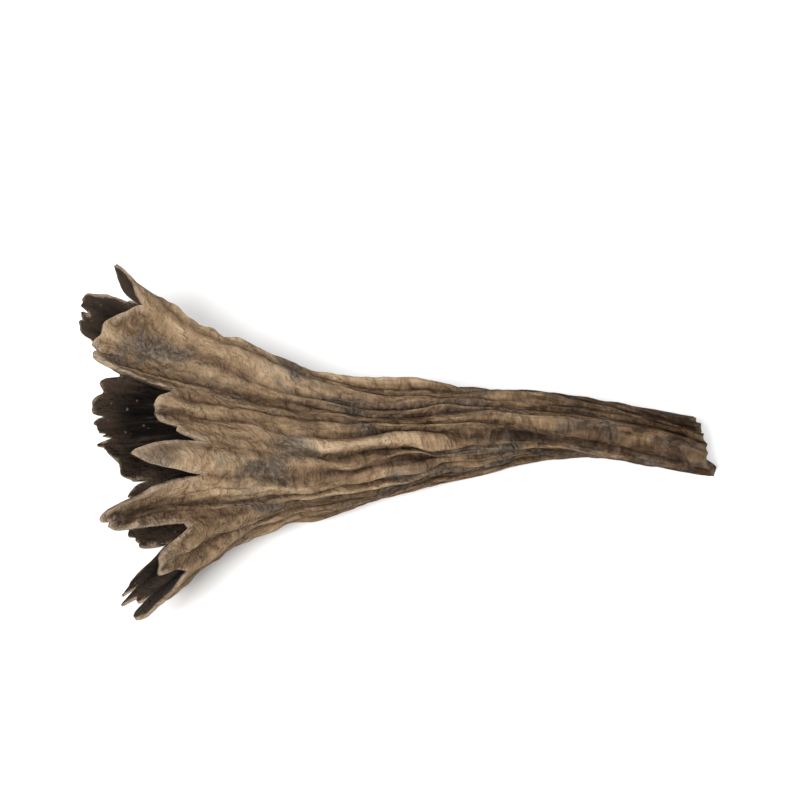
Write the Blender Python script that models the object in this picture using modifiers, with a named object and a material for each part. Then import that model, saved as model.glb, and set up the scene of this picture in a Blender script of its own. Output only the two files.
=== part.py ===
"""A dried black trumpet mushroom lying on its side, mouth towards -X.

The fruit body grew as one piece: a thin leathery wall that makes a hollow, twisted stem and then
opens into a squashed, creased funnel with a torn, pleated rim. Metres, +Z up, lying on z = 0.
The wall is a flat grid rolled up: "turn" runs once round it, "rise" runs from cut base to rim.
"""

import math

import bmesh
import bpy
from mathutils import Vector, noise

MM = 0.001

# The whole body
WALL_LENGTH = 45.5 * MM  # along the wall, from the cut base to the longest lobe's tip
STEM_RADIUS = 1.30 * MM  # of the hollow inside the stem
STEM_LEAN = math.radians(1.5)  # how far the wall leans out from the axis along the stem,
CONE_LEAN = math.radians(12)  # how much more along the funnel
FLARE_LEAN = math.radians(27)  # and how much more at the rim
LEAN_UNDER = 0.45  # share of the last two that the weight takes off underneath
TWIST = 0.22  # turns that the base is wrung round against the rim
BASE_X = 21.40 * MM  # where the cut base lies
MOUTH_Y = -0.38 * MM  # where the mouth's axis lies
STEM_SWING = 7.0 * MM  # how far the base swings aside from the mouth's axis
STEM_CROOK = 1.1 * MM  # how far the stem bends to and fro on the way
STEM_ARCH = 0.7 * MM  # how far the middle of the stem stands off the ground
STEM_HEIGHT = 1.8 * MM  # of the stem's axis at the base
MOUTH_LIFT = 3.3 * MM  # how much higher the mouth's axis lies than the stem's
MOUTH_WIDE = 0.12  # the mouth is this share wider than round
MOUTH_FLAT = 0.32  # and this share lower than round

# The wall's thickness
THICK_STEM = 0.80 * MM
THICK_RIM = 0.66 * MM
PLEAT_RELIEF = 0.55 * MM  # how proud a pleat stands on the outside
CREST_MAX = 1.2  # the strongest pleat against the plain one
FAN_EVENED = 0.35  # share of that relief that is gone from the opened funnel

# The grid
PLEATS = 27
COLUMNS_PER_PLEAT = 4
ROWS = 27

# Lobes round the rim, starting underneath: width in pleats, reach of the tip as a share of the wall,
# depth of the tear after it, how far it curls out (+) or in (-) in degrees, and how blunt its tip is
LOBES = (
    (5.0, 0.940, 0.030, -4, 4.0),
    (3.5, 0.975, 0.075, 10, 2.6),
    (1.5, 0.955, 0.060, 18, 1.6),
    (2.5, 0.930, 0.040, 6, 2.8),
    (2.0, 0.860, 0.050, 8, 2.4),
    (1.0, 0.945, 0.105, -20, 1.6),
    (2.0, 0.975, 0.070, 20, 1.5),
    (1.5, 0.925, 0.050, 12, 1.7),
    (2.5, 0.970, 0.075, 6, 2.0),
    (2.5, 0.965, 0.060, 10, 2.8),
    (3.0, 0.930, 0.030, -4, 4.0),
)
TEAR_FROM = 0.62  # the grid is even below this share of the wall, and stretches to the lobes above it
RAGGED = 0.9 * MM  # how uneven the torn edge is

# Broad folds round the wall: how many, depth as a share of the opening, phase, and drift along the wall
FOLDS = ((2, 0.15, 0.4, 1.2), (3, 0.17, 2.1, -1.5), (4, 0.10, 4.0, 2.2), (6, 0.06, 1.0, -2.6))

# Creases that the drying pressed in (-: out): turn at the rim, drift, depth, half width in turns, from, to
CREASES = (
    (0.140, 0.05, 0.7 * MM, 0.030, 0.22, 1.10),
    (0.250, -0.04, 1.3 * MM, 0.036, 0.35, 1.20),
    (0.343, 0.03, -0.8 * MM, 0.022, 0.30, 1.20),
    (0.417, 0.03, 1.1 * MM, 0.026, 0.30, 1.20),
    (0.500, 0.03, 1.9 * MM, 0.028, 0.30, 1.20),
    (0.550, 0.03, -1.0 * MM, 0.022, 0.30, 1.20),
    (0.611, 0.03, 0.8 * MM, 0.024, 0.42, 1.15),
    (0.676, 0.03, 0.9 * MM, 0.024, 0.42, 1.15),
    (0.750, 0.04, -0.8 * MM, 0.028, 0.28, 1.10),
    (0.843, 0.03, 1.1 * MM, 0.032, 0.35, 1.20),
    (0.940, -0.03, -0.5 * MM, 0.026, 0.30, 1.10),
)
TIGHTEST = 1.7 * MM  # no valley on the outside bends the wall more sharply than this radius
SOFTENING = 150  # rounds of easing that
CHANNEL = 0.35 * MM  # how far each lobe's sides stand out against its middle
FLUTES = 4  # ridges of the wrung stem
FLUTE_DEPTH = 0.22 * MM
STEM_OVAL = 0.36 * MM  # how far the stem is from round
FOOT_RAGGED = 0.4 * MM  # how uneven the base is where it came out of the ground
FOOT_DRAWN = 0.30 * MM  # how far the base has shrunk in, apart from its underside
WAVES = 6  # of the rim, out and in
FRILL = 1.9 * MM  # and their height
BUCKLE = 1.0 * MM  # slow uneven shrinking all over
GROUND_SOFT = 0.22 * MM  # how gently the wall flattens where it lay on the drying tray
PRESSED = 0.70 * MM  # height of the hollow's floor above the ground there

FLESH_COLOUR = (0.216, 0.147, 0.091, 1.0)


def smooth(low, high, value):
    """0 below low, 1 above high and an even ramp between."""
    share = min(1.0, max(0.0, (value - low) / (high - low)))
    return share * share * (3 - 2 * share)


def apart(turn, other):
    """The shorter way from one turn to another, signed."""
    return (turn - other + 0.5) % 1.0 - 0.5


def uneven(turn, scale, height, seed):
    """Smooth noise from -1 to 1 that closes on itself round the wall."""
    angle = math.tau * turn
    return noise.noise(Vector((scale * math.cos(angle), scale * math.sin(angle), height + 10.0 * seed)))


def lobe_at(turn):
    """Place across the lobe from -1 to 1, and the lobe's number."""
    passed = 0.0
    for index, lobe in enumerate(LOBES):
        width = lobe[0] / PLEATS
        if turn < passed + width - 1e-9:
            return 2 * (turn - passed) / width - 1, index
        passed += width
    return -1.0, 0


def tear_root(index):
    """Share of the wall where the tear after a lobe starts."""
    lobe, following = LOBES[index], LOBES[(index + 1) % len(LOBES)]
    return min(lobe[1], following[1]) - lobe[2]


def rim_at(turn):
    """Where the wall ends at this turn, where its tears start, the place across the lobe and its curl."""
    across, index = lobe_at(turn)
    _, reach, _, curl, blunt = LOBES[index]
    left, right = tear_root(index - 1), tear_root(index)
    root = left + (right - left) * (across + 1) / 2
    side = right if across > 0 else left
    end = reach - (reach - side) * abs(across) ** blunt
    end += RAGGED / WALL_LENGTH * uneven(turn, 17.0, 0.0, 3)
    return end, min(root, end - 0.02), across, math.radians(curl)


def under(turn):
    """1 underneath, 0 on top."""
    return ((1 + math.cos(math.tau * turn)) / 2) ** 1.5


def crease_depth(turn, rise, radius):
    """How far the wall is pushed in by the creases, which deepen as the funnel opens."""
    depth = 0.0
    for place, drift, deep, half_width, start, end in CREASES:
        away = apart(turn, place + drift * (1 - rise) * 2) / half_width
        window = smooth(start, start + 0.3, rise) * (1 - smooth(end - 0.2, end, rise))
        most = (half_width * math.tau * radius) ** 2 / TIGHTEST
        depth += math.copysign(min(abs(deep), most), deep) * window * math.exp(-away * away)
    return depth


def fold_height(turn, rise, opened):
    """How far the broad folds push the wall out or in."""
    height = 0.0
    for count, share, phase, drift in FOLDS:
        height += share * math.cos(math.tau * count * turn + phase + drift * rise)
    return height * opened * 8.0 * MM


def ridge(turn, rise, count, seed):
    """0 in a valley to 1 on the crest of a ridge, each of so many round the wall of its own strength."""
    place = turn * count
    strength = 0.75 + 1.1 * noise.noise(Vector((round(place) % count * 1.7, rise * 2.6, seed)))
    return min(CREST_MAX, max(0.12, strength)) * (1 - abs(math.sin(math.pi * place))) ** 0.8


def pleat_height(turn, rise):
    """Height of the pleats, which join by threes towards the stem."""
    fine = smooth(0.18, 0.50, rise)
    return fine * ridge(turn, rise, PLEATS, 4.0) + (1 - fine) * 0.9 * ridge(turn, rise, PLEATS // 3, 7.0)


def frill(turn, rise):
    """How far the rim waves out and in."""
    wave = math.sin(math.tau * WAVES * turn + 3.5 * uneven(turn, 1.3, 0.0, 5))
    height = FRILL * wave * (0.7 + 0.6 * uneven(turn, 1.9, 0.0, 6))
    return height * smooth(0.66, 1.0, rise) * (1 - 0.7 * under(turn))


def axis_at(along):
    """Sideways place and height of the trumpet's own axis, this far from the base."""
    share = along / WALL_LENGTH
    aside = MOUTH_Y - STEM_SWING * (1 - share) ** 2
    aside += STEM_CROOK * math.sin(math.tau * 1.15 * share) * (1 - smooth(0.45, 0.95, share))
    height = STEM_HEIGHT + STEM_ARCH * math.sin(math.pi * min(1.0, share / 0.6))
    return aside, height + MOUTH_LIFT * smooth(0.10, 0.92, share)


def lean_at(turn, rise, root, curl):
    """How far the wall leans out from the axis."""
    lean = CONE_LEAN * smooth(0.20, 0.50, rise) + FLARE_LEAN * smooth(0.55, 0.95, rise)
    lean *= 1 - LEAN_UNDER * under(turn)
    return STEM_LEAN + lean + curl * smooth(0.0, 1.0, (rise - root) / (1 - root))


def column(turn):
    """One line up the inner face: for each row its rise, way along the axis, radius, lean and push."""
    end, root, across, curl = rim_at(turn)
    foot = FOOT_RAGGED * uneven(turn, 2.4, 0.0, 9)
    along, radius, rise = 0.0, STEM_RADIUS, 0.0
    line = []
    for row in range(ROWS):
        even = 1 - (1 - row / (ROWS - 1)) ** 1.25
        stretch = (1 - end) * max(0.0, (even - TEAR_FROM) / (1 - TEAR_FROM)) ** 1.6
        step = even - stretch - rise
        lean = lean_at(turn, rise + step / 2, root, curl)
        along += WALL_LENGTH * step * math.cos(lean)
        radius += WALL_LENGTH * step * math.sin(lean)
        rise += step
        loose = smooth(0.0, 1.0, (rise - root) / (1 - root))
        push = pushed(turn, rise, radius) - CHANNEL * loose * (1 - across * across)
        push -= FOOT_DRAWN * (1 - smooth(0.0, 0.11, rise)) * (1 - under(turned(turn, rise)))
        line.append([rise, along + foot * (1 - smooth(0.0, 0.16, rise)), radius, lean, push])
    return line


def pushed(turn, rise, radius):
    """How far flutes, folds, creases, shrinking and frill push the wall out (+) or in (-)."""
    opened = (radius - STEM_RADIUS) / (8.0 * MM)
    in_stem = 1 - smooth(0.30, 0.65, rise)
    push = FLUTE_DEPTH * in_stem * math.cos(math.tau * FLUTES * turn)
    push += STEM_OVAL * in_stem * math.cos(2 * math.tau * turn + 5.0 * rise)
    slow = uneven(turn, 2.0, 7.0 * rise, 0) + 0.3 * uneven(turn, 4.5, 16.0 * rise, 8)
    push += BUCKLE * slow * smooth(0.0, 0.45, rise)
    push += fold_height(turn, rise, opened) - crease_depth(turn, rise, radius) + frill(turn, rise)
    return push * (1 - 0.75 * under(turn) * smooth(0.3, 0.6, rise))


def soften(lines):
    """Eases the valleys out until none, seen from outside, bends more sharply than TIGHTEST."""
    columns = len(lines)
    for row in range(ROWS):
        ring = [line[row] for line in lines]
        plain = [carried(index / columns, ring[index], 0.0) for index in range(columns)]
        steps = [(plain[(index + 1) % columns] - plain[index - 1]).length / 2 for index in range(columns)]
        push = [spot[4] for spot in ring]
        for index in list(range(columns)) * SOFTENING:
            beside = (push[index - 1] + push[(index + 1) % columns]) / 2
            step = steps[index] * (1 + min(0.0, push[index]) / ring[index][2])
            push[index] = max(push[index], beside - step * step / (2 * TIGHTEST))
        for spot, eased in zip(ring, push):
            spot[4] = eased


def turned(turn, rise):
    """Where round the trumpet a line has got to by this rise, as the stem twists."""
    return turn + TWIST * (1 - rise) ** 1.6


def carried(turn, spot, push):
    """A point of the unrolled wall carried to its place on the squashed and bent trumpet."""
    rise, along, radius, lean, _ = spot
    angle = math.tau * turned(turn, rise)
    along -= push * math.sin(lean)
    radius += push * math.cos(lean)
    squash = smooth(0.1, 0.85, rise)
    aside, height = axis_at(along)
    y = aside + radius * math.sin(angle) * (1 + MOUTH_WIDE * squash)
    z = height - radius * math.cos(angle) * (1 - MOUTH_FLAT * squash)
    return Vector((BASE_X - along, y, above_ground(z)))


def above_ground(z):
    """Height eased up so that the inner face never comes nearer the ground than PRESSED."""
    over = (z - PRESSED) / GROUND_SOFT
    if over > 30:
        return z
    return PRESSED + GROUND_SOFT * math.log1p(math.exp(over))


def thickness_at(turn, rise):
    """The wall's thickness, with its pleats raised on the outside."""
    plain = THICK_STEM + (THICK_RIM - THICK_STEM) * smooth(0.2, 0.95, rise)
    relief = PLEAT_RELIEF * (1 - FAN_EVENED * smooth(0.40, 0.75, rise)) * (1 - 0.8 * under(turn))
    return plain + relief * pleat_height(turn, rise)


def make_wall(collection):
    """The mushroom: a grid sewn into a tube, carried into shape and given its thickness."""
    columns = PLEATS * COLUMNS_PER_PLEAT
    rolled = bmesh.new()
    bmesh.ops.create_grid(rolled, x_segments=columns, y_segments=ROWS - 1, size=0.5)
    lines = [column(index / columns) for index in range(columns)]
    soften(lines)
    flesh = rolled.verts.layers.deform.verify()
    thickest = THICK_STEM + CREST_MAX * PLEAT_RELIEF
    for vert in rolled.verts:
        index = round((vert.co.x + 0.5) * columns) % columns
        row = round((vert.co.y + 0.5) * (ROWS - 1))
        spot = lines[index][row]
        vert[flesh][0] = thickness_at(index / columns, spot[0]) / thickest
        vert.co = carried(index / columns, spot, spot[4])
    bmesh.ops.remove_doubles(rolled, verts=rolled.verts, dist=1e-7)
    bmesh.ops.reverse_faces(rolled, faces=rolled.faces)
    mesh = bpy.data.meshes.new("rolled_wall")
    rolled.to_mesh(mesh)
    rolled.free()
    wall = bpy.data.objects.new("black_trumpet", mesh)
    wall.vertex_groups.new(name="flesh")
    collection.objects.link(wall)
    shell = wall.modifiers.new("flesh", "SOLIDIFY")
    shell.thickness = thickest
    shell.offset = 1.0
    shell.vertex_group = "flesh"
    rest_flat(wall)
    return wall


def rest_flat(wall):
    """Applies the thickness, then presses what would lie below the ground flat onto it."""
    thick = wall.evaluated_get(bpy.context.evaluated_depsgraph_get())
    mesh = bpy.data.meshes.new_from_object(thick)
    wall.modifiers.clear()
    wall.data = mesh
    mesh.name = "black_trumpet"
    for vert in mesh.vertices:
        vert.co.z = max(0.0, vert.co.z)


def flesh_material():
    """Grey-brown dried flesh."""
    material = bpy.data.materials.new("dried_flesh")
    material.use_nodes = True
    shader = material.node_tree.nodes["Principled BSDF"]
    shader.inputs["Base Color"].default_value = FLESH_COLOUR
    shader.inputs["Roughness"].default_value = 0.8
    return material


def main():
    for old in list(bpy.data.objects):
        bpy.data.objects.remove(old)
    collection = bpy.data.collections.new("black_trumpet_mushroom")
    bpy.context.scene.collection.children.link(collection)
    wall = make_wall(collection)
    wall.data.materials.append(flesh_material())
    wall.data.shade_smooth()


main()
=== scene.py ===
"""Looks for the dried black trumpet mushroom.

The fruit body is one wall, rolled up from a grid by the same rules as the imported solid's, but finer:
its torn edge is thin and frayed, and fibres and wrinkles run over it. Metres, +Z up, mouth towards -X.
"""

import math
import random
from types import SimpleNamespace

import bmesh
import bpy
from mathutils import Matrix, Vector, noise


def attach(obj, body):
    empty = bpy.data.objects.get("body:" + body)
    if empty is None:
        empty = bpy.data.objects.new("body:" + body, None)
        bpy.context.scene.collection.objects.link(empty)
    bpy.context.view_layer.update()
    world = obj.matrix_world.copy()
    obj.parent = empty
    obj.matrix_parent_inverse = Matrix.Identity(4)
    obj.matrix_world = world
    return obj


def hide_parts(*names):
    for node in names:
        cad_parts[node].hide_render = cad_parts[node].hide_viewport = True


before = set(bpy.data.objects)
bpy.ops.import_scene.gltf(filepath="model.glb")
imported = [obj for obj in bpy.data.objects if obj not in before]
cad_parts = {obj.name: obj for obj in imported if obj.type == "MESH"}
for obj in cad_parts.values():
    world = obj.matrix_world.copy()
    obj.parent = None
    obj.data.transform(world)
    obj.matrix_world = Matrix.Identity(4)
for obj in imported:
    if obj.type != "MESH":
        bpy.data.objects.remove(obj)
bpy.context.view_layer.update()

MM = 0.001

# The whole body, as in the solid
WALL_LENGTH = 45.5 * MM  # along the wall, from the cut base to the longest lobe's tip
STEM_RADIUS = 1.30 * MM  # of the hollow inside the stem
STEM_LEAN = math.radians(1.5)  # how far the wall leans out from the axis along the stem,
CONE_LEAN = math.radians(12)  # how much more along the funnel
FLARE_LEAN = math.radians(27)  # and how much more at the rim
LEAN_UNDER = 0.45  # share of the last two that the weight takes off underneath
TWIST = 0.22  # turns that the base is wrung round against the rim
BASE_X = 21.40 * MM  # where the cut base lies
MOUTH_Y = -0.38 * MM  # where the mouth's axis lies
STEM_SWING = 7.0 * MM  # how far the base swings aside from the mouth's axis
STEM_CROOK = 1.1 * MM  # how far the stem bends to and fro on the way
STEM_ARCH = 0.7 * MM  # how far the middle of the stem stands off the ground
STEM_HEIGHT = 1.8 * MM  # of the stem's axis at the base
MOUTH_LIFT = 3.3 * MM  # how much higher the mouth's axis lies than the stem's
MOUTH_WIDE = 0.12  # the mouth is this share wider than round
MOUTH_FLAT = 0.32  # and this share lower than round

# Stretches of the wall over which a form comes in or fades, from and to, as shares of its length
CONE_GROWS = (0.20, 0.50)
FLARE_GROWS = (0.55, 0.95)
STEM_FADES = (0.30, 0.65)  # the stem's flutes and its oval
CROOK_FADES = (0.45, 0.95)
MOUTH_LIFTS = (0.10, 0.92)
MOUTH_SQUASHED = (0.1, 0.85)
BUCKLES = (0.0, 0.45)
UNDERSIDE_CALMS = (0.3, 0.6)
RIBS_SPLIT = (0.18, 0.50)  # the stem's ribs part into the funnel's pleats
SKIN_SPREADS = (0.15, 0.60)  # the skin's fine relief goes over from the stem's to the funnel's
FAN_EVENS = (0.40, 0.75)
FURROWS_START = (0.0, 0.05)
FURROWS_FADE = (0.35, 0.60)
SOLID_THINS = (0.2, 0.95)
WALL_THINS = (0.2, 0.85)
RIM_FRILLED = (0.66, 1.0)
FOOT_UNEVEN = (0.0, 0.16)
FOOT_SHRUNKEN = (0.0, 0.11)
FOOT_THINNED = (0.0, 0.035)

# The solid's wall, and the thinner one that is seen
SOLID_STEM = 0.80 * MM
SOLID_RIM = 0.66 * MM
THICK_STEM = 0.75 * MM
THICK_RIM = 0.42 * MM
THICK_EDGE = 0.20 * MM  # at the torn edge itself
THICK_FOOT = 0.40 * MM  # at the frayed foot
THINNEST = 0.16 * MM
EDGE_THINS = 1.6 * MM  # how far from the torn edge the wall starts to thin
EDGE_FLATTENS = 1.2 * MM  # and its relief starts to flatten
FURROW = 0.35 * MM  # how much deeper than the solid's the stem's valleys are
SET_IN = 0.10 * MM  # room left for the wrinkles inside the solid's bounds
PLEAT_RELIEF = 0.55 * MM  # how proud a pleat stands on the outside
CREST_MAX = 1.2  # the strongest pleat against the plain one
FAN_EVENED = 0.35  # share of that relief that is gone from the opened funnel
SLOT = 0.9  # the smaller, the narrower the valleys between pleats
WANDER = 0.45  # how far a pleat strays aside, in pleats

# The grid
PLEATS = 27
COLUMNS_PER_PLEAT = 14
ROWS = 126
COARSE = 4 * PLEATS  # columns on which the valleys are eased, as in the solid
NEAR = 12  # columns to each side in which the nearest torn edge is looked for

# Lobes round the rim, starting underneath: width in pleats, reach of the tip as a share of the wall,
# depth of the tear after it, how far it curls out (+) or in (-) in degrees, and how blunt its tip is
LOBES = (
    (5.0, 0.940, 0.030, -4, 4.0),
    (3.5, 0.975, 0.075, 10, 2.6),
    (1.5, 0.955, 0.060, 18, 1.6),
    (2.5, 0.930, 0.040, 6, 2.8),
    (2.0, 0.860, 0.050, 8, 2.4),
    (1.0, 0.945, 0.105, -20, 1.6),
    (2.0, 0.975, 0.070, 20, 1.5),
    (1.5, 0.925, 0.050, 12, 1.7),
    (2.5, 0.970, 0.075, 6, 2.0),
    (2.5, 0.965, 0.060, 10, 2.8),
    (3.0, 0.930, 0.030, -4, 4.0),
)
TEAR_FROM = 0.62  # the grid is even below this share of the wall, and stretches to the lobes above it
RAGGED = 0.9 * MM  # how uneven the torn edge is
FRAYED = 0.22 * MM  # how much finer fraying takes off the torn edge
FOOT_FRAYED = 1.0 * MM  # and off the foot
NICKS = 34  # small splits round the rim

# Broad folds round the wall: how many, depth as a share of the opening, phase, and drift along the wall
FOLDS = ((2, 0.15, 0.4, 1.2), (3, 0.17, 2.1, -1.5), (4, 0.10, 4.0, 2.2), (6, 0.06, 1.0, -2.6))

# Creases that the drying pressed in (-: out): turn at the rim, drift, depth, half width in turns, from, to
CREASES = (
    (0.140, 0.05, 0.7 * MM, 0.030, 0.22, 1.10),
    (0.250, -0.04, 1.3 * MM, 0.036, 0.35, 1.20),
    (0.343, 0.03, -0.8 * MM, 0.022, 0.30, 1.20),
    (0.417, 0.03, 1.1 * MM, 0.026, 0.30, 1.20),
    (0.500, 0.03, 1.9 * MM, 0.028, 0.30, 1.20),
    (0.550, 0.03, -1.0 * MM, 0.022, 0.30, 1.20),
    (0.611, 0.03, 0.8 * MM, 0.024, 0.42, 1.15),
    (0.676, 0.03, 0.9 * MM, 0.024, 0.42, 1.15),
    (0.750, 0.04, -0.8 * MM, 0.028, 0.28, 1.10),
    (0.843, 0.03, 1.1 * MM, 0.032, 0.35, 1.20),
    (0.940, -0.03, -0.5 * MM, 0.026, 0.30, 1.10),
)
TIGHTEST = 1.7 * MM  # no valley on the outside bends the wall more sharply than this radius
SOFTENING = 150  # how many times the valleys are eased towards that radius
CHANNEL = 0.35 * MM  # how far each lobe's sides stand out against its middle
FLUTES = 4  # ridges of the wrung stem
FLUTE_DEPTH = 0.22 * MM
STEM_OVAL = 0.36 * MM  # how far the stem is from round
FOOT_RAGGED = 0.4 * MM  # how uneven the base is where it came out of the ground
FOOT_DRAWN = 0.30 * MM  # how far the base has shrunk in, apart from its underside
WAVES = 6  # of the rim, out and in
FRILL = 1.9 * MM  # and their height
BUCKLE = 1.0 * MM  # slow uneven shrinking all over
GROUND_SOFT = 0.22 * MM  # how gently the wall flattens where it lay on the drying tray
PRESSED = 0.70 * MM  # height of the hollow's floor above the ground there

# Fine relief
FIBRE = 0.08 * MM  # raised fibres on the outside
THREAD = 0.04 * MM  # finer ones between them
PUCKER = 0.07 * MM  # short wrinkles across the wall
SHRIVEL = 0.16 * MM  # a net of wrinkles where the flesh has shrunk
CORD = 0.16 * MM  # fine ridges along the stem, between its flutes
LINING = 0.07 * MM  # unevenness of the inner face

# Texture coordinates: wrap has the same number of steps round the wall from foot to rim, and spread has
# about one step to each millimetre everywhere
WRAP_ROUND = 7
WRAP_ALONG = 43
SPREAD_ALONG = 38
SPREAD_FANNING = 12  # how many more steps the funnel takes along its length
TEXTURE_INSET = 0.45  # how far both move from the outer face to the inner one

# Colours, as linear red, green and blue; where there are stops, each has its place first
# Skin tones from dark to pale, picked by a tone that partly follows the relief: the darker ones paint shade
# in the valleys and the paler ones paint light on the backs
SKIN_COLOURS = (
    (0.0, (0.010, 0.0060, 0.004)),
    (0.22, (0.048, 0.029, 0.017)),
    (0.48, (0.132, 0.083, 0.047)),
    (0.74, (0.250, 0.168, 0.098)),
    (1.0, (0.430, 0.318, 0.200)),
)
# Inside, from dark to less dark: the flesh's own dark brown-black, darkened further as painted shade in the
# hollow
LINING_COLOURS = (
    (0.38, (0.0012, 0.0008, 0.0007)),
    (0.62, (0.0050, 0.0033, 0.0026)),
    (0.82, (0.042, 0.029, 0.022)),
)
LINING_EDGE = (0.070, 0.048, 0.032)
TORN_FLESH = (0.390, 0.290, 0.203)
DARK_BLOOM = (0.034, 0.026, 0.021)
PALE_BLOOM = (0.150, 0.124, 0.104)
FOOT_SHADE = (0.40, 0.35, 0.32)
CUT_FOOT = (0.150, 0.105, 0.068)
# pale specks in the hollow: partly dust, partly painted glints
DUST_AND_GLINTS = (0.260, 0.200, 0.142)
FLOOR_COLOUR = (0.92, 0.92, 0.915, 1.0)

# Stage
FLOOR_SIZE = 3.0
SKY_LIGHT = 0.46
LIT = (0.0, 0.0, 5 * MM)  # where the lamps point
LAMPS = (  # name, place, size and power
    ("main_lamp", (-0.16, -0.20, 0.30), 0.15, 2.3),
    ("rear_lamp", (0.16, 0.22, 0.22), 0.16, 0.6),
)
CAMERA_SIDE = -14  # degrees round from the front
CAMERA_HEIGHT = 56  # degrees above the floor
CAMERA_AWAY = 142 * MM
LOOKED_AT = (0.6 * MM, 0.0, 4.5 * MM)
LENS = 90  # focal length, in millimetres of lens


def smooth(low, high, value):
    """0 below low, 1 above high and a smooth ramp between."""
    share = min(1.0, max(0.0, (value - low) / (high - low)))
    return share * share * (3 - 2 * share)


def apart(turn, other):
    """The shorter way from one turn to another, signed."""
    return (turn - other + 0.5) % 1.0 - 0.5


def uneven(turn, scale, height, seed):
    """Smooth noise from -1 to 1 that closes on itself round the wall."""
    angle = math.tau * turn
    return noise.noise(Vector((scale * math.cos(angle), scale * math.sin(angle), height + 10.0 * seed)))


def lobe_at(turn):
    """Place across the lobe from -1 to 1, and the lobe's number."""
    passed = 0.0
    for index, lobe in enumerate(LOBES):
        width = lobe[0] / PLEATS
        if turn < passed + width - 1e-9:
            return 2 * (turn - passed) / width - 1, index
        passed += width
    return -1.0, 0


def tear_root(index):
    """Share of the wall where the tear after a lobe starts."""
    lobe, following = LOBES[index], LOBES[(index + 1) % len(LOBES)]
    return min(lobe[1], following[1]) - lobe[2]


def between(ring, turn):
    """A value from a ring of even places, on a smooth curve through them."""
    place = turn * len(ring)
    index = int(place)
    t = place - index
    a, b, c, d = (ring[(index + shift) % len(ring)] for shift in (-1, 0, 1, 2))
    return b + 0.5 * t * (c - a + t * (2 * a - 5 * b + 4 * c - d + t * (3 * (b - c) + d - a)))


def nicks():
    """Small splits: turn, depth as a share of the wall, half width in turns."""
    draw = random.Random(11)
    made = []
    for _ in range(NICKS):
        depth = draw.uniform(0.3, 1.6) * draw.random() * MM / WALL_LENGTH
        made.append((draw.random(), depth, draw.uniform(0.003, 0.008)))
    return made


NICKED = nicks()
TORN = [uneven(index / COARSE, 17.0, 0.0, 3) for index in range(COARSE)]


def frayed(turn):
    """How much of the wall fraying and nicks take off the torn edge."""
    off = FRAYED / WALL_LENGTH * (0.5 + 0.5 * uneven(turn, 22.0, 0.0, 12))
    for place, depth, half_width in NICKED:
        away = abs(apart(turn, place)) / half_width
        if away < 1:
            off = max(off, depth * (1 - away))
    return off


def rim_at(turn):
    """Where the wall ends at this turn, where its tears start, the place across the lobe and its curl."""
    across, index = lobe_at(turn)
    _, reach, _, curl, blunt = LOBES[index]
    left, right = tear_root(index - 1), tear_root(index)
    root = left + (right - left) * (across + 1) / 2
    side = right if across > 0 else left
    end = reach - (reach - side) * abs(across) ** blunt
    end += RAGGED / WALL_LENGTH * between(TORN, turn)
    return end, min(root, end - 0.02), across, math.radians(curl)


def under(turn):
    """1 underneath, 0 on top."""
    return ((1 + math.cos(math.tau * turn)) / 2) ** 1.5


def crease_depth(turn, rise, radius):
    """How far the wall is pushed in by the creases, which deepen as the funnel opens."""
    depth = 0.0
    for place, drift, deep, half_width, start, end in CREASES:
        away = apart(turn, place + drift * (1 - rise) * 2) / half_width
        window = smooth(start, start + 0.3, rise) * (1 - smooth(end - 0.2, end, rise))
        most = (half_width * math.tau * radius) ** 2 / TIGHTEST
        depth += math.copysign(min(abs(deep), most), deep) * window * math.exp(-away * away)
    return depth


def fold_height(turn, rise, opened):
    """How far the broad folds push the wall out or in, where it has opened this much wider than the stem."""
    height = 0.0
    for count, share, phase, drift in FOLDS:
        height += share * math.cos(math.tau * count * turn + phase + drift * rise)
    return height * opened


def ridge(place, count, rise, seed):
    """0 in a narrow valley to 1 on the round back of a ridge, each ridge of its own strength."""
    strength = 0.75 + 1.1 * noise.noise(Vector((round(place) % count * 1.7, rise * 2.6, seed)))
    return min(CREST_MAX, max(0.12, strength)) * abs(math.cos(math.pi * place)) ** SLOT


def pleat_height(turn, rise):
    """Height of the pleats, which join by threes towards the stem."""
    fine = smooth(*RIBS_SPLIT, rise)
    aside = WANDER * uneven(turn, 5.0, 7.0 * rise, 14)
    pleat = ridge(turn * PLEATS + aside, PLEATS, rise, 4.0)
    return fine * pleat + (1 - fine) * 0.9 * ridge(turn * PLEATS / 3 + aside / 2, PLEATS // 3, rise, 7.0)


def frill(turn, rise):
    """How far the rim waves out and in."""
    wave = math.sin(math.tau * WAVES * turn + 3.5 * uneven(turn, 1.3, 0.0, 5))
    height = FRILL * wave * (0.7 + 0.6 * uneven(turn, 1.9, 0.0, 6))
    return height * smooth(*RIM_FRILLED, rise) * (1 - 0.7 * under(turn))


def axis_at(along):
    """Sideways place and height of the trumpet's own axis, this far from the base."""
    share = along / WALL_LENGTH
    aside = MOUTH_Y - STEM_SWING * (1 - share) ** 2
    aside += STEM_CROOK * math.sin(math.tau * 1.15 * share) * (1 - smooth(*CROOK_FADES, share))
    height = STEM_HEIGHT + STEM_ARCH * math.sin(math.pi * min(1.0, share / 0.6))
    return aside, height + MOUTH_LIFT * smooth(*MOUTH_LIFTS, share)


def lean_at(turn, rise, root, curl):
    """How far the wall leans out from the axis."""
    lean = CONE_LEAN * smooth(*CONE_GROWS, rise) + FLARE_LEAN * smooth(*FLARE_GROWS, rise)
    lean *= 1 - LEAN_UNDER * under(turn)
    return STEM_LEAN + lean + curl * smooth(0.0, 1.0, (rise - root) / (1 - root))


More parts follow.
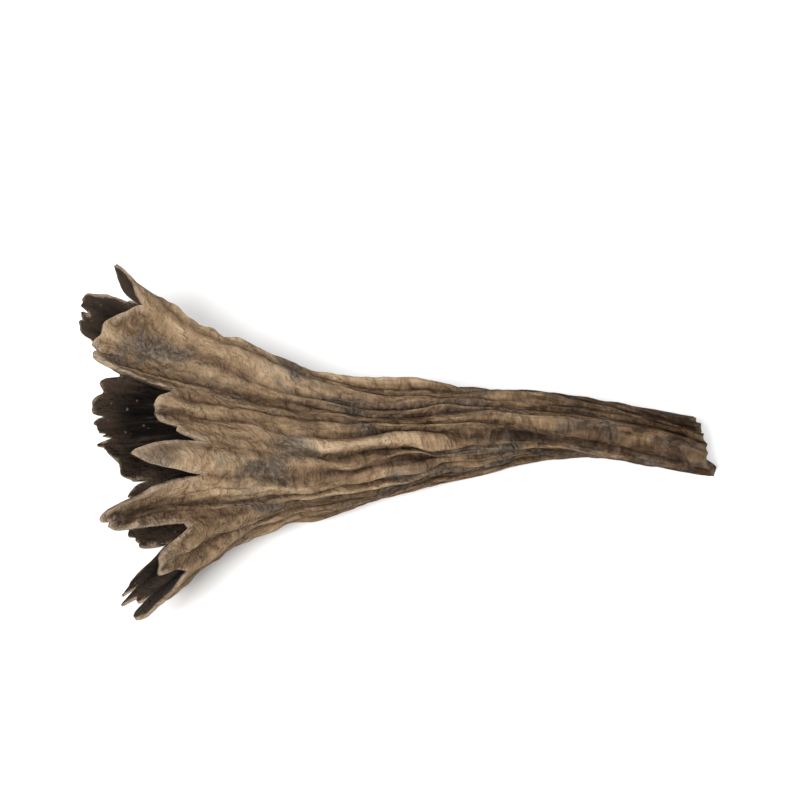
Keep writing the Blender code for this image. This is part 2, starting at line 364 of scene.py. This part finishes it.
def column(turn, fraying):
    """One line up the inner face: for each row its rise, way along the axis, radius, lean and push."""
    end, root, across, curl = rim_at(turn)
    end -= fraying
    foot = FOOT_RAGGED * uneven(turn, 2.4, 0.0, 9)
    if fraying:
        foot += FOOT_FRAYED * (1 + uneven(turn, 3.2, 0.0, 23)) / 2
    along, radius, rise = 0.0, STEM_RADIUS, 0.0
    line = []
    for row in range(ROWS):
        even = 1 - (1 - row / (ROWS - 1)) ** 1.25
        stretch = (1 - end) * max(0.0, (even - TEAR_FROM) / (1 - TEAR_FROM)) ** 1.6
        step = even - stretch - rise
        lean = lean_at(turn, rise + step / 2, root, curl)
        along += WALL_LENGTH * step * math.cos(lean)
        radius += WALL_LENGTH * step * math.sin(lean)
        rise += step
        loose = smooth(0.0, 1.0, (rise - root) / (1 - root))
        push = pushed(turn, rise, radius) - CHANNEL * loose * (1 - across * across)
        push -= FOOT_DRAWN * (1 - smooth(*FOOT_SHRUNKEN, rise)) * (1 - under(turned(turn, rise)))
        line.append([rise, along + foot * (1 - smooth(*FOOT_UNEVEN, rise)), radius, lean, push])
    return line


def torn_distances(lines):
    """For each line and row, how far the nearest torn edge is, along the wall or across it."""
    ends = [line[-1][0] for line in lines]
    columns = len(lines)
    distances = []
    for index, line in enumerate(lines):
        near = [(abs(step), ends[(index + step) % columns]) for step in range(-NEAR, NEAR + 1)]
        ahead = []
        for spot in line:
            wide = math.tau * spot[2] / columns
            left = [(step * wide, max(0.0, end - spot[0]) * WALL_LENGTH) for step, end in near]
            ahead.append(min(math.hypot(*way) for way in left))
        distances.append(ahead)
    return distances


def pushed(turn, rise, radius):
    """How far flutes, folds, creases, shrinking and frill push the wall out (+) or in (-)."""
    opened = radius - STEM_RADIUS
    in_stem = 1 - smooth(*STEM_FADES, rise)
    push = FLUTE_DEPTH * in_stem * math.cos(math.tau * FLUTES * turn)
    push += STEM_OVAL * in_stem * math.cos(2 * math.tau * turn + 5.0 * rise)
    slow = uneven(turn, 2.0, 7.0 * rise, 0) + 0.3 * uneven(turn, 4.5, 16.0 * rise, 8)
    push += BUCKLE * slow * smooth(*BUCKLES, rise)
    push += fold_height(turn, rise, opened) - crease_depth(turn, rise, radius) + frill(turn, rise)
    return push * (1 - 0.75 * under(turn) * smooth(*UNDERSIDE_CALMS, rise))


def easing(lines):
    """How far each valley is eased out so that none bends more sharply than TIGHTEST, row by row."""
    columns = len(lines)
    eased = []
    for row in range(ROWS):
        ring = [line[row] for line in lines]
        plain = [carried(index / columns, ring[index], 0.0, SOLID_RIM) for index in range(columns)]
        steps = [(plain[(index + 1) % columns] - plain[index - 1]).length / 2 for index in range(columns)]
        push = [spot[4] for spot in ring]
        for index in list(range(columns)) * SOFTENING:
            beside = (push[index - 1] + push[(index + 1) % columns]) / 2
            step = steps[index] * (1 + min(0.0, push[index]) / ring[index][2])
            push[index] = max(push[index], beside - step * step / (2 * TIGHTEST))
        eased.append([after - spot[4] for after, spot in zip(push, ring)])
    return eased


def turned(turn, rise):
    """Where round the trumpet a line has got to by this rise, as it twists."""
    return turn + TWIST * (1 - rise) ** 1.6


def carried(turn, spot, push, clear):
    """A point of the unrolled wall carried to its place on the squashed and bent trumpet."""
    rise, along, radius, lean = spot[:4]
    angle = math.tau * turned(turn, rise)
    along -= push * math.sin(lean)
    radius += push * math.cos(lean)
    squash = smooth(*MOUTH_SQUASHED, rise)
    aside, height = axis_at(along)
    y = aside + radius * math.sin(angle) * (1 + MOUTH_WIDE * squash)
    z = height - radius * math.cos(angle) * (1 - MOUTH_FLAT * squash)
    return Vector((BASE_X - along, y, above_ground(z, clear)))


def above_ground(z, clear):
    """Height eased up so that the inner face never comes nearer the ground than clear."""
    over = (z - clear) / GROUND_SOFT
    if over > 30:
        return z
    return clear + GROUND_SOFT * math.log1p(math.exp(over))


def wall_at(turn, spot, to_edge):
    """Thickness of the wall that is seen, how far its inner face stands off the solid's, and its pleats."""
    rise = spot[0]
    solid = SOLID_STEM + (SOLID_RIM - SOLID_STEM) * smooth(*SOLID_THINS, rise)
    plain = THICK_STEM + (THICK_RIM - THICK_STEM) * smooth(*WALL_THINS, rise)
    plain += (THICK_EDGE - plain) * (1 - smooth(0.0, EDGE_THINS, to_edge))
    plain += (THICK_FOOT - plain) * (1 - smooth(*FOOT_THINNED, rise))
    opened = smooth(*SKIN_SPREADS, rise)
    pleat = pleat_height(turn, rise)
    deeper = FURROW * smooth(*FURROWS_START, rise) * (1 - smooth(*FURROWS_FADE, rise))
    deeper *= 1 - smooth(0.1, 0.6, under(turned(turn, rise)))
    relief = (PLEAT_RELIEF * (1 - FAN_EVENED * smooth(*FAN_EVENS, rise)) + 0.9 * deeper) * pleat
    stem_fibres = uneven(turn, 5.0, 9.0 * rise, 15) + 0.5 * uneven(turn, 11.0, 20.0 * rise, 20)
    relief += opened * FIBRE * uneven(turn, 24.0, 5.0 * rise, 15)
    relief += (1 - opened) * FIBRE * stem_fibres
    relief += opened * THREAD * uneven(turn, 46.0, 16.0 * rise, 16)
    relief += PUCKER * (2.2 - 1.2 * opened) * uneven(turn, 3.0 + 6.0 * opened, 24.0 * rise, 17)
    cord = turn * PLEATS + uneven(turn, 3.0, 6.0 * rise, 24)
    relief += (1 - opened) * CORD * ridge(cord, PLEATS, rise, 11.0)
    relief += SHRIVEL * (0.6 + 0.4 * opened) * shrivelled(turn, rise, spot[2] / MM)
    relief *= (1 - 0.8 * under(turn)) * (0.35 + 0.65 * smooth(0.0, EDGE_FLATTENS, to_edge))
    thickness = max(THINNEST, plain - deeper + relief)
    return thickness, solid - plain, pleat


def shrivelled(turn, rise, radius):
    """Height of a net of wrinkles, about 0 on average, whose mesh stays as wide from stem to rim."""
    net = abs(uneven(turn, 0.75 * radius + 1.0, 15.0 * rise, 21))
    net += 0.6 * abs(uneven(turn, 1.6 * radius + 2.0, 34.0 * rise, 22))
    return 2.2 * net - 0.7


def lining_at(turn, rise):
    """How far the inner face swells into the hollow."""
    grain = uneven(turn, 20.0, 9.0 * rise, 18) + 0.6 * uneven(turn, 40.0, 22.0 * rise, 19)
    return LINING * grain * smooth(*SKIN_SPREADS, rise)


def roll_sheet(thickest):
    """A grid sewn into a tube and carried into shape, with its thickness as a share of the thickest."""
    columns = PLEATS * COLUMNS_PER_PLEAT
    eased = easing([column(index / COARSE, 0.0) for index in range(COARSE)])
    rolled = bmesh.new()
    bmesh.ops.create_grid(rolled, x_segments=columns, y_segments=ROWS - 1, size=0.5)
    flesh = rolled.verts.layers.deform.verify()
    names = ("rise", "to_edge", "pleat", "press", "lining")
    layers = {name: rolled.verts.layers.float.new(name) for name in names}
    wrap = rolled.verts.layers.float_vector.new("wrap")
    spread = rolled.verts.layers.float_vector.new("spread")
    lines = [column(index / columns, frayed(index / columns)) for index in range(columns)]
    distances = torn_distances(lines)
    for vert in rolled.verts:
        index = round((vert.co.x + 0.5) * columns) % columns
        row = round((vert.co.y + 0.5) * (ROWS - 1))
        turn, spot = index / columns, lines[index][row]
        to_edge = distances[index][row]
        thickness, outward, pleat = wall_at(turn, spot, to_edge)
        push = spot[4] + between(eased[row], turn)
        vert[flesh][0] = thickness / thickest
        values = (spot[0], to_edge / MM, pleat, push / MM, lining_at(turn, spot[0]))
        for name, value in zip(names, values):
            vert[layers[name]] = value
        round_the_wall = Vector((math.cos(math.tau * turn), math.sin(math.tau * turn), 0.0))
        steps_along = SPREAD_ALONG * spot[0] + SPREAD_FANNING * spot[0] ** 2
        vert[wrap] = WRAP_ROUND * round_the_wall + Vector((0.0, 0.0, spot[0] * WRAP_ALONG))
        vert[spread] = (spot[2] / MM + 1) * round_the_wall + Vector((0.0, 0.0, steps_along))
        vert.co = carried(turn, spot, push + outward - SET_IN, PRESSED + outward)
    bmesh.ops.remove_doubles(rolled, verts=rolled.verts, dist=1e-7)
    bmesh.ops.reverse_faces(rolled, faces=rolled.faces)
    sheet = bpy.data.meshes.new("rolled_wall")
    rolled.to_mesh(sheet)
    rolled.free()
    return sheet


def make_mushroom():
    """The fruit body: a rolled sheet that is given its wall."""
    thickest = THICK_STEM + CREST_MAX * PLEAT_RELIEF + 2 * FIBRE + THREAD + PUCKER + 2 * SHRIVEL
    sheet = roll_sheet(thickest)
    body = bpy.data.objects.new("mushroom_flesh", sheet)
    body.vertex_groups.new(name="flesh")
    bpy.context.scene.collection.objects.link(body)
    shell = body.modifiers.new("flesh", "SOLIDIFY")
    shell.thickness = thickest
    shell.offset = 1.0
    shell.vertex_group = "flesh"
    finish_wall(body, len(sheet.vertices))
    return body


def finish_wall(body, outer_count):
    """Applies the thickness, roughens the inner face, and presses what would lie too low onto the ground.

    Texture coordinates of the inner face move inwards too, so that the torn edge isn't striped across.
    """
    thick = body.evaluated_get(bpy.context.evaluated_depsgraph_get())
    mesh = bpy.data.meshes.new_from_object(thick)
    body.modifiers.clear()
    body.data = mesh
    mesh.name = "mushroom_flesh"
    outside = mesh.attributes.new("outside", "FLOAT", "POINT").data
    lining = mesh.attributes["lining"].data
    inward = [vert.normal.copy() for vert in mesh.vertices]
    textures = [mesh.attributes[name].data for name in ("wrap", "spread")]
    for vert in mesh.vertices:
        outside[vert.index].value = 1.0 if vert.index < outer_count else 0.0
        if vert.index >= outer_count:
            vert.co += inward[vert.index] * lining[vert.index].value
            for texture in textures:
                spot = texture[vert.index].vector
                texture[vert.index].vector = spot - TEXTURE_INSET * Vector((spot.x, spot.y, 0.0)).normalized()
        vert.co.z = max(0.0, vert.co.z)
    mesh.shade_smooth()


class Wiring:
    """Small helper that adds and joins a material's nodes."""

    def __init__(self, name):
        self.material = bpy.data.materials.new(name)
        self.material.use_nodes = True
        self.nodes = self.material.node_tree.nodes
        self.links = self.material.node_tree.links
        self.shader = self.nodes["Principled BSDF"]

    def join(self, source, socket):
        """Sets a socket to a number or a colour, or links it to another node's output."""
        if isinstance(source, (int, float)):
            socket.default_value = source
        elif isinstance(source, tuple):
            socket.default_value = source if len(source) == 4 or socket.type == "VECTOR" else (*source, 1.0)
        else:
            self.links.new(source, socket)

    def attribute(self, name, vector=False):
        """A value or a vector that the mesh carries at its points."""
        node = self.nodes.new("ShaderNodeAttribute")
        node.attribute_name = name
        return node.outputs["Vector" if vector else "Fac"]

    def stretched(self, vector, scale):
        """Texture coordinates times a scale for each axis."""
        node = self.nodes.new("ShaderNodeMapping")
        self.join(vector, node.inputs["Vector"])
        node.inputs["Scale"].default_value = scale
        return node.outputs["Vector"]

    def cloud(self, vector, scale, detail=4.0, roughness=0.55, distortion=0.0):
        """Soft noise round 0.5."""
        node = self.nodes.new("ShaderNodeTexNoise")
        self.join(vector, node.inputs["Vector"])
        node.inputs["Scale"].default_value = scale
        node.inputs["Detail"].default_value = detail
        node.inputs["Roughness"].default_value = roughness
        node.inputs["Distortion"].default_value = distortion
        return node.outputs["Fac"]

    def net(self, vector, scale):
        """0 in narrow crooked valleys, 1 on the backs between them."""
        crooked = self.maths("SUBTRACT", self.cloud(vector, scale, 3.0, 0.5, 0.5), 0.5)
        backs = self.maths("MULTIPLY", self.maths("ABSOLUTE", crooked), 5.0, clamp=True)
        return self.maths("POWER", backs, 0.7)

    def cells(self, vector, scale):
        """Distance to the nearest of many scattered points."""
        node = self.nodes.new("ShaderNodeTexVoronoi")
        self.join(vector, node.inputs["Vector"])
        node.inputs["Scale"].default_value = scale
        return node.outputs["Distance"]

    def maths(self, operation, first, second=0.0, clamp=False):
        """One operation on two values or numbers."""
        node = self.nodes.new("ShaderNodeMath")
        node.operation = operation
        node.use_clamp = clamp
        self.join(first, node.inputs[0])
        self.join(second, node.inputs[1])
        return node.outputs[0]

    def weigh(self, *parts):
        """The parts added up, each times its weight."""
        total = 0.0
        for part, weight in parts:
            total = self.maths("ADD", total, self.maths("MULTIPLY", part, weight))
        return total

    def ramp(self, value, low, high, to_low=0.0, to_high=1.0):
        """A smooth ramp from to_low where the value is low, to to_high where it is high."""
        node = self.nodes.new("ShaderNodeMapRange")
        node.interpolation_type = "SMOOTHSTEP"
        self.join(value, node.inputs["Value"])
        node.inputs["From Min"].default_value = low
        node.inputs["From Max"].default_value = high
        node.inputs["To Min"].default_value = to_low
        node.inputs["To Max"].default_value = to_high
        return node.outputs[0]

    def colours(self, value, *stops):
        """A colour for each value, through stops of place and colour."""
        node = self.nodes.new("ShaderNodeValToRGB")
        self.join(value, node.inputs["Fac"])
        elements = node.color_ramp.elements
        while len(elements) < len(stops):
            elements.new(0.5)
        for element, (place, colour) in zip(elements, stops):
            element.position = place
            element.color = (*colour, 1.0)
        return node.outputs["Color"]

    def mix(self, factor, first, second, blend="MIX"):
        """The first colour, and by the factor the second over it."""
        node = self.nodes.new("ShaderNodeMix")
        node.data_type = "RGBA"
        node.blend_type = blend
        self.join(factor, node.inputs["Factor"])
        self.join(first, node.inputs[6])
        self.join(second, node.inputs[7])
        return node.outputs[2]

    def bump(self, height, strength, distance, normal=None):
        """Fine relief of this height on top of what the normal already has."""
        node = self.nodes.new("ShaderNodeBump")
        node.inputs["Strength"].default_value = strength
        node.inputs["Distance"].default_value = distance
        self.join(height, node.inputs["Height"])
        if normal is not None:
            self.join(normal, node.inputs["Normal"])
        return node.outputs["Normal"]


def flesh_textures(w):
    """What the mesh carries, and the clouds and nets from which the flesh gets its colours and its bumps."""
    wrap = w.attribute("wrap", vector=True)
    spread = w.attribute("spread", vector=True)
    wide_spread = w.stretched(spread, (1.0, 1.0, 0.45))
    return SimpleNamespace(
        outside=w.attribute("outside"),
        to_edge=w.attribute("to_edge"),
        pleat=w.attribute("pleat"),
        rise=w.attribute("rise"),
        press=w.attribute("press"),
        streaks=w.cloud(w.stretched(wrap, (1.0, 1.0, 0.16)), 1.5, 6.0, 0.62, 0.4),
        threads=w.cloud(w.stretched(wrap, (1.0, 1.0, 0.12)), 4.0, 5.0, 0.6, 0.2),
        patches=w.cloud(w.stretched(wrap, (1.0, 1.0, 0.55)), 0.32, 4.0, 0.55, 0.6),
        cords=w.cloud(w.stretched(wrap, (1.0, 1.0, 0.10)), 0.62, 3.0, 0.55, 0.3),
        mottle=w.cloud(wide_spread, 0.95, 5.0, 0.62, 0.6),
        wrinkles=w.net(wide_spread, 0.8),
        crinkles=w.net(w.stretched(spread, (1.0, 1.0, 0.7)), 2.1),
        grain=w.cloud(spread, 4.5, 4.0, 0.6),
        fine_grain=w.cloud(spread, 13.0, 3.0, 0.6),
        dots=w.cells(spread, 0.9),
    )


def skin_colour(w, t):
    """The outside: tan ridges and brown valleys, painted light and painted shade on the pleats, creases and
    wrinkles, more even on the fan, with grey patches and a dark foot.
    """
    # the pleats, the pushed-in creases and the wrinkles' nets darken the tone in their valleys and lighten it
    # on their backs: painted shade and painted light on the relief, over the flesh's own streaks and grain
    tone = w.weigh(
        (t.pleat, 0.34), (t.cords, 0.24), (t.streaks, 0.42), (t.threads, 0.22), (t.mottle, 0.28),
        (t.grain, 0.16), (t.wrinkles, 0.14), (t.crinkles, 0.08), (t.press, 0.05),
    )
    evened = w.maths("SUBTRACT", 0.335, w.maths("MULTIPLY", tone, 0.29))
    tone = w.maths("ADD", tone, w.maths("MULTIPLY", w.ramp(t.rise, 0.40, 0.72), evened))
    skin = w.colours(w.ramp(tone, 0.57, 1.33), *SKIN_COLOURS)
    weathered = w.weigh(
        (t.cords, 0.25), (t.mottle, 0.20), (t.grain, 0.25), (t.streaks, 0.20), (t.crinkles, 0.16),
    )
    bloom = w.mix(w.ramp(weathered, 0.42, 0.72), DARK_BLOOM, PALE_BLOOM)
    skin = w.mix(w.ramp(t.patches, 0.47, 0.68, 0.0, 0.85), skin, bloom)
    up_the_foot = w.maths("ADD", t.rise, w.maths("MULTIPLY", w.maths("SUBTRACT", t.mottle, 0.5), 0.5))
    skin = w.mix(w.ramp(up_the_foot, 0.0, 0.22, 1.0, 0.0), skin, FOOT_SHADE, "MULTIPLY")
    cut = w.ramp(w.maths("ADD", t.rise, w.maths("MULTIPLY", t.grain, 0.02)), 0.010, 0.020, 0.7, 0.0)
    return w.mix(cut, skin, CUT_FOOT)


def lining_colour(w, t):
    """The inside: near black, its own dark flesh deepened by painted shade of the hollow, with faint threads
    and a tone that follows the pleats as painted light on the folds, browner near the edge, and a few pale
    specks, partly dust and partly painted glints.
    """
    # the pleats lighten the lining's tone: painted light that shows the folds
    lining = w.colours(w.weigh((t.threads, 0.5), (t.streaks, 0.5), (t.pleat, 0.16)), *LINING_COLOURS)
    near_edge = w.ramp(w.maths("ADD", t.to_edge, w.maths("MULTIPLY", t.streaks, 2.4)), 1.0, 3.4, 0.5, 0.0)
    lining = w.mix(near_edge, lining, LINING_EDGE)
    # pale specks: partly dust and partly painted glints
    uneven_dots = w.maths("ADD", t.dots, w.maths("MULTIPLY", w.maths("SUBTRACT", t.grain, 0.5), 0.35))
    speck = w.maths("MULTIPLY", w.ramp(uneven_dots, 0.04, 0.17, 0.6, 0.0), w.ramp(t.mottle, 0.45, 0.62))
    return w.mix(speck, lining, DUST_AND_GLINTS)


def flesh_material():
    """Dried flesh: grey-brown and tan outside with valleys darkened as painted shade, near black inside,
    darkened further as painted shade in the hollow, pale where torn.
    """
    w = Wiring("dried_flesh")
    t = flesh_textures(w)
    colour = w.mix(t.outside, lining_colour(w, t), skin_colour(w, t))
    past_edge = w.maths("ADD", t.to_edge, w.weigh((t.grain, 0.5), (t.mottle, 1.3), (t.outside, -0.22)))
    colour = w.mix(w.ramp(past_edge, 0.57, 1.12, 0.8, 0.0), colour, TORN_FLESH)
    w.join(colour, w.shader.inputs["Base Color"])
    w.join(w.ramp(t.threads, 0.3, 0.7, 0.62, 0.88), w.shader.inputs["Roughness"])
    w.shader.inputs["Specular IOR Level"].default_value = 0.05

    rough = w.bump(t.wrinkles, 0.8, 0.24 * MM)
    rough = w.bump(t.crinkles, 0.5, 0.10 * MM, rough)
    rough = w.bump(t.cords, 0.8, 0.30 * MM, rough)
    rough = w.bump(w.weigh((t.threads, 0.6), (t.grain, 0.4)), 0.9, 0.34 * MM, rough)
    rough = w.bump(t.fine_grain, 0.5, 0.08 * MM, rough)
    w.join(rough, w.shader.inputs["Normal"])
    return w.material


def floor_material():
    """Plain pale floor."""
    w = Wiring("pale_floor")
    w.shader.inputs["Base Color"].default_value = FLOOR_COLOUR
    w.shader.inputs["Roughness"].default_value = 0.55
    w.shader.inputs["Specular IOR Level"].default_value = 0.2
    return w.material


def make_floor():
    """A wide plain floor under the mushroom."""
    ground = bmesh.new()
    bmesh.ops.create_grid(ground, x_segments=1, y_segments=1, size=FLOOR_SIZE)
    mesh = bpy.data.meshes.new("floor")
    ground.to_mesh(mesh)
    ground.free()
    floor = bpy.data.objects.new("floor", mesh)
    bpy.context.scene.collection.objects.link(floor)
    mesh.materials.append(floor_material())


def add_light(name, place, size, power):
    """A soft square lamp that faces the mushroom."""
    lamp = bpy.data.lights.new(name, "AREA")
    lamp.size = size
    lamp.energy = power
    holder = bpy.data.objects.new(name, lamp)
    bpy.context.scene.collection.objects.link(holder)
    holder.location = place
    holder.rotation_mode = "QUATERNION"
    holder.rotation_quaternion = (Vector(LIT) - Vector(place)).to_track_quat("-Z", "Y")


def light_studio():
    """Plain soft studio light from all round, with a main lamp at the upper left."""
    world = bpy.data.worlds.new("studio")
    world.use_nodes = True
    sky = world.node_tree.nodes["Background"]
    sky.inputs["Color"].default_value = (1.0, 1.0, 1.0, 1.0)
    sky.inputs["Strength"].default_value = SKY_LIGHT
    bpy.context.scene.world = world
    for lamp in LAMPS:
        add_light(*lamp)
    bpy.context.scene.view_settings.view_transform = "Standard"


def place_camera():
    """A camera at the photograph's angle to the mushroom, which looks down on it."""
    lens_data = bpy.data.cameras.new("camera")
    lens_data.lens = LENS
    lens_data.clip_start = 5 * MM
    camera = bpy.data.objects.new("camera", lens_data)
    bpy.context.scene.collection.objects.link(camera)
    turn, height = math.radians(CAMERA_SIDE), math.radians(CAMERA_HEIGHT)
    back = Vector((math.sin(turn) * math.cos(height), -math.cos(turn) * math.cos(height), math.sin(height)))
    camera.location = Vector(LOOKED_AT) + back * CAMERA_AWAY
    camera.rotation_mode = "QUATERNION"
    camera.rotation_quaternion = (-back).to_track_quat("-Z", "Y")
    bpy.context.scene.camera = camera


mushroom = make_mushroom()
mushroom.data.materials.clear()
mushroom.data.materials.append(flesh_material())
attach(mushroom, "root")
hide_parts("black_trumpet")
make_floor()
light_studio()
place_camera()
